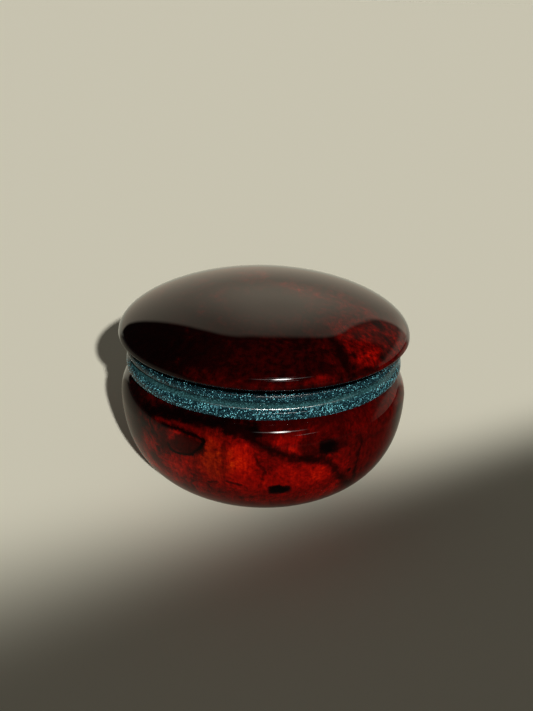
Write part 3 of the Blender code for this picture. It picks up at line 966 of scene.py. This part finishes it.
def soft_panel(name, outline, middle, distance, left, right, soft, tint=PANEL_TINT):
    """A glowing sheet round the box, which only the lacquer mirrors. It fades over its outermost share.

    The outline is given as seen from the box, in degrees to the right of straight behind and degrees up.
    left and right say how bright it is on each side, as (degrees to the right, radiance).
    """
    border = rounded(outline)
    around = len(border)
    corners, reach, sides = [], [], []
    for ring in range(PANEL_RINGS + 1):
        share = ring / PANEL_RINGS
        for aside, up in border:
            here = (middle[0] + share * (aside - middle[0]), middle[1] + share * (up - middle[1]))
            place = towards(180.0 - here[0], here[1]) * distance
            corners.append(place + Vector((0.0, 0.0, edge_height)))
            reach.append(share)
            sides.append(here[0])
    faces = [(ring * around + index, ring * around + (index + 1) % around,
              (ring + 1) * around + (index + 1) % around, (ring + 1) * around + index)
             for ring in range(PANEL_RINGS) for index in range(around)]
    panel = staged_sheet(name, corners, faces)
    for label, values in (("reach", reach), ("side", sides)):
        panel.data.attributes.new(label, "FLOAT", "POINT").data.foreach_set("value", values)
    glow = bpy.data.materials.new(name + "_light")
    glow.use_nodes = True
    tree = glow.node_tree
    tree.nodes.clear()
    reached = add(tree, "ShaderNodeAttribute", attribute_name="reach").outputs["Fac"]
    aside = add(tree, "ShaderNodeAttribute", attribute_name="side").outputs["Fac"]
    strength = remapped(tree, aside, left[0], right[0], left[1], right[1], smooth=True)
    faded = remapped(tree, reached, 1.0 - soft, 1.0, 1.0, 0.0, smooth=True)
    strength = maths(tree, "MULTIPLY", strength, faded)
    emission = add(tree, "ShaderNodeEmission", {"Color": tint, "Strength": strength})
    clear = tree.nodes.new("ShaderNodeBsdfTransparent")
    both = add(tree, "ShaderNodeAddShader", {0: emission.outputs[0], 1: clear.outputs[0]})
    add(tree, "ShaderNodeOutputMaterial", {"Surface": both.outputs[0]})
    panel.data.materials.append(glow)
    panel.visible_diffuse = False
    panel.visible_shadow = False
    return panel


# name, what it falls on, its angle and elevation, half its width and half its height in degrees, radiance
for name, fallen_on, angle, up, half_width, half_height, radiance in (
        ("bowl_glint", on_bowl, GLINT_ANGLE, 36.5, 10.5, 3.2, 60.0),
        ("bowl_tails", on_bowl, GLINT_ANGLE, 36.5, 26.0, 2.2, 6.0),
        ("bowl_lower_line", on_bowl, 34.0, 23.0, 12.0, 0.9, 3.5),
        ("bowl_upper_line", on_bowl, 15.0, 62.0, 9.0, 0.8, 3.5),
        ("lid_glint", on_lid, GLINT_ANGLE, 40.5, 10.5, 3.2, 100.0),
        ("lid_tails", on_lid, GLINT_ANGLE, 41.0, 30.0, 1.6, 5.0),
        ("lid_lower_line", on_lid, GLINT_ANGLE, 32.0, 16.0, 1.2, 6.0),
        ("lid_upper_line", on_lid, GLINT_ANGLE, 47.5, 18.0, 1.0, 4.0),
        ("ring_glint", on_rings, GLINT_ANGLE, 31.0, 33.0, 1.8, 75.0),
        ("ring_tails", on_rings, GLINT_ANGLE, 31.0, 80.0, 1.2, 6.0),
        ("ring_lower_line", on_rings, GLINT_ANGLE, 4.0, 26.0, 1.4, 26.0)):
    aside = 180.0 - angle
    oval = []
    for corner in range(GLINT_CORNERS):
        turn = corner * math.tau / GLINT_CORNERS
        oval.append((aside + half_width * math.cos(turn), up + half_height * math.sin(turn)))
    glint = soft_panel(name, oval, (aside, up), LAMP_DISTANCE, left=(0.0, radiance),
                       right=(180.0, radiance), soft=1.0, tint=(*KEY_TINT, 1.0))
    glint.light_linking.receiver_collection = fallen_on

soft_panel("rear_panel", [
    (-43, -6), (-41, 12), (-39.5, 22), (-38, 32), (-35, 46), (-32, 55), (-26, 62.5), (-8, 66.5), (16, 65.5),
    (30, 61), (38, 55), (38, 48), (35.5, 42), (34, 34), (33.5, 25), (36.5, 17), (40, 10), (41, -6)],
    middle=(-2, 20), distance=REAR_PANEL_DISTANCE, left=(-14, 0.62), right=(24, 0.58), soft=0.10)
soft_panel("rear_glow", [
    (-22, 26), (-24, 50), (-16, 62), (8, 66), (25, 60), (32, 50), (32, 38), (31, 28), (24, 20), (2, 18)],
    middle=(5, 42), distance=1.02, left=(-20, 0.62), right=(22, 0.66), soft=0.80)
soft_panel("side_panel", [
    (28, -6), (28, 10), (38, 14), (48, 18), (66, 22), (82, 17), (96, 0), (92, -6)],
    middle=(60, 4), distance=1.04, left=(30, 0.36), right=(90, 0.30), soft=0.45)
soft_panel("side_haze", [
    (30, 8), (30, 46), (38, 56), (48, 48), (62, 34), (80, 26), (92, 10)],
    middle=(48, 26), distance=1.06, left=(30, 0.13), right=(80, 0.08), soft=0.5)

# Past the floor's far edge the camera sees the floor's own lit colour
room = bpy.data.worlds.new("dark_room")
bpy.context.scene.world = room
room.use_nodes = True
tree = room.node_tree
tree.nodes.clear()
rays = tree.nodes.new("ShaderNodeLightPath").outputs
tone = blended(tree, rays["Is Glossy Ray"], ROOM_LIGHT, MIRRORED_ROOM)
tone = blended(tree, rays["Is Camera Ray"], tone, LIT_FLOOR)
surroundings = add(tree, "ShaderNodeBackground", {"Color": tone, "Strength": 1.0})
add(tree, "ShaderNodeOutputWorld", {"Surface": surroundings.outputs[0]})


# The camera
# It looks down on the box from the front, at the photo's own viewing angle and with its slight roll. The
# pixel places are the photo's middle and, in the photo, the point that the camera is aimed at.
AIM = Vector((0.0, 0.0, 0.0395))
CAMERA_ELEVATION = 23.94
CAMERA_DISTANCE = 0.2595
CAMERA_ROLL = 1.31
FOCAL_PIXELS = 816.5
LONG_SIDE_PIXELS = 711
AIM_PIXEL = (263.7, 356.0)
CENTRE_PIXEL = (266.5, 355.5)

camera = bpy.data.objects.new("camera", bpy.data.cameras.new("camera"))
camera.data.sensor_width = 36.0
camera.data.lens = FOCAL_PIXELS / LONG_SIDE_PIXELS * camera.data.sensor_width
camera.data.shift_x = (CENTRE_PIXEL[0] - AIM_PIXEL[0]) / LONG_SIDE_PIXELS
camera.data.shift_y = (AIM_PIXEL[1] - CENTRE_PIXEL[1]) / LONG_SIDE_PIXELS
camera.data.clip_start = 0.01
back = towards(0.0, CAMERA_ELEVATION)
camera.location = AIM + back * CAMERA_DISTANCE
camera.rotation_mode = "QUATERNION"
roll = Quaternion((0.0, 0.0, 1.0), math.radians(CAMERA_ROLL))
camera.rotation_quaternion = back.to_track_quat("Z", "Y") @ roll
bpy.context.scene.collection.objects.link(camera)
bpy.context.scene.camera = camera
bpy.context.scene.view_settings.view_transform = "Standard"
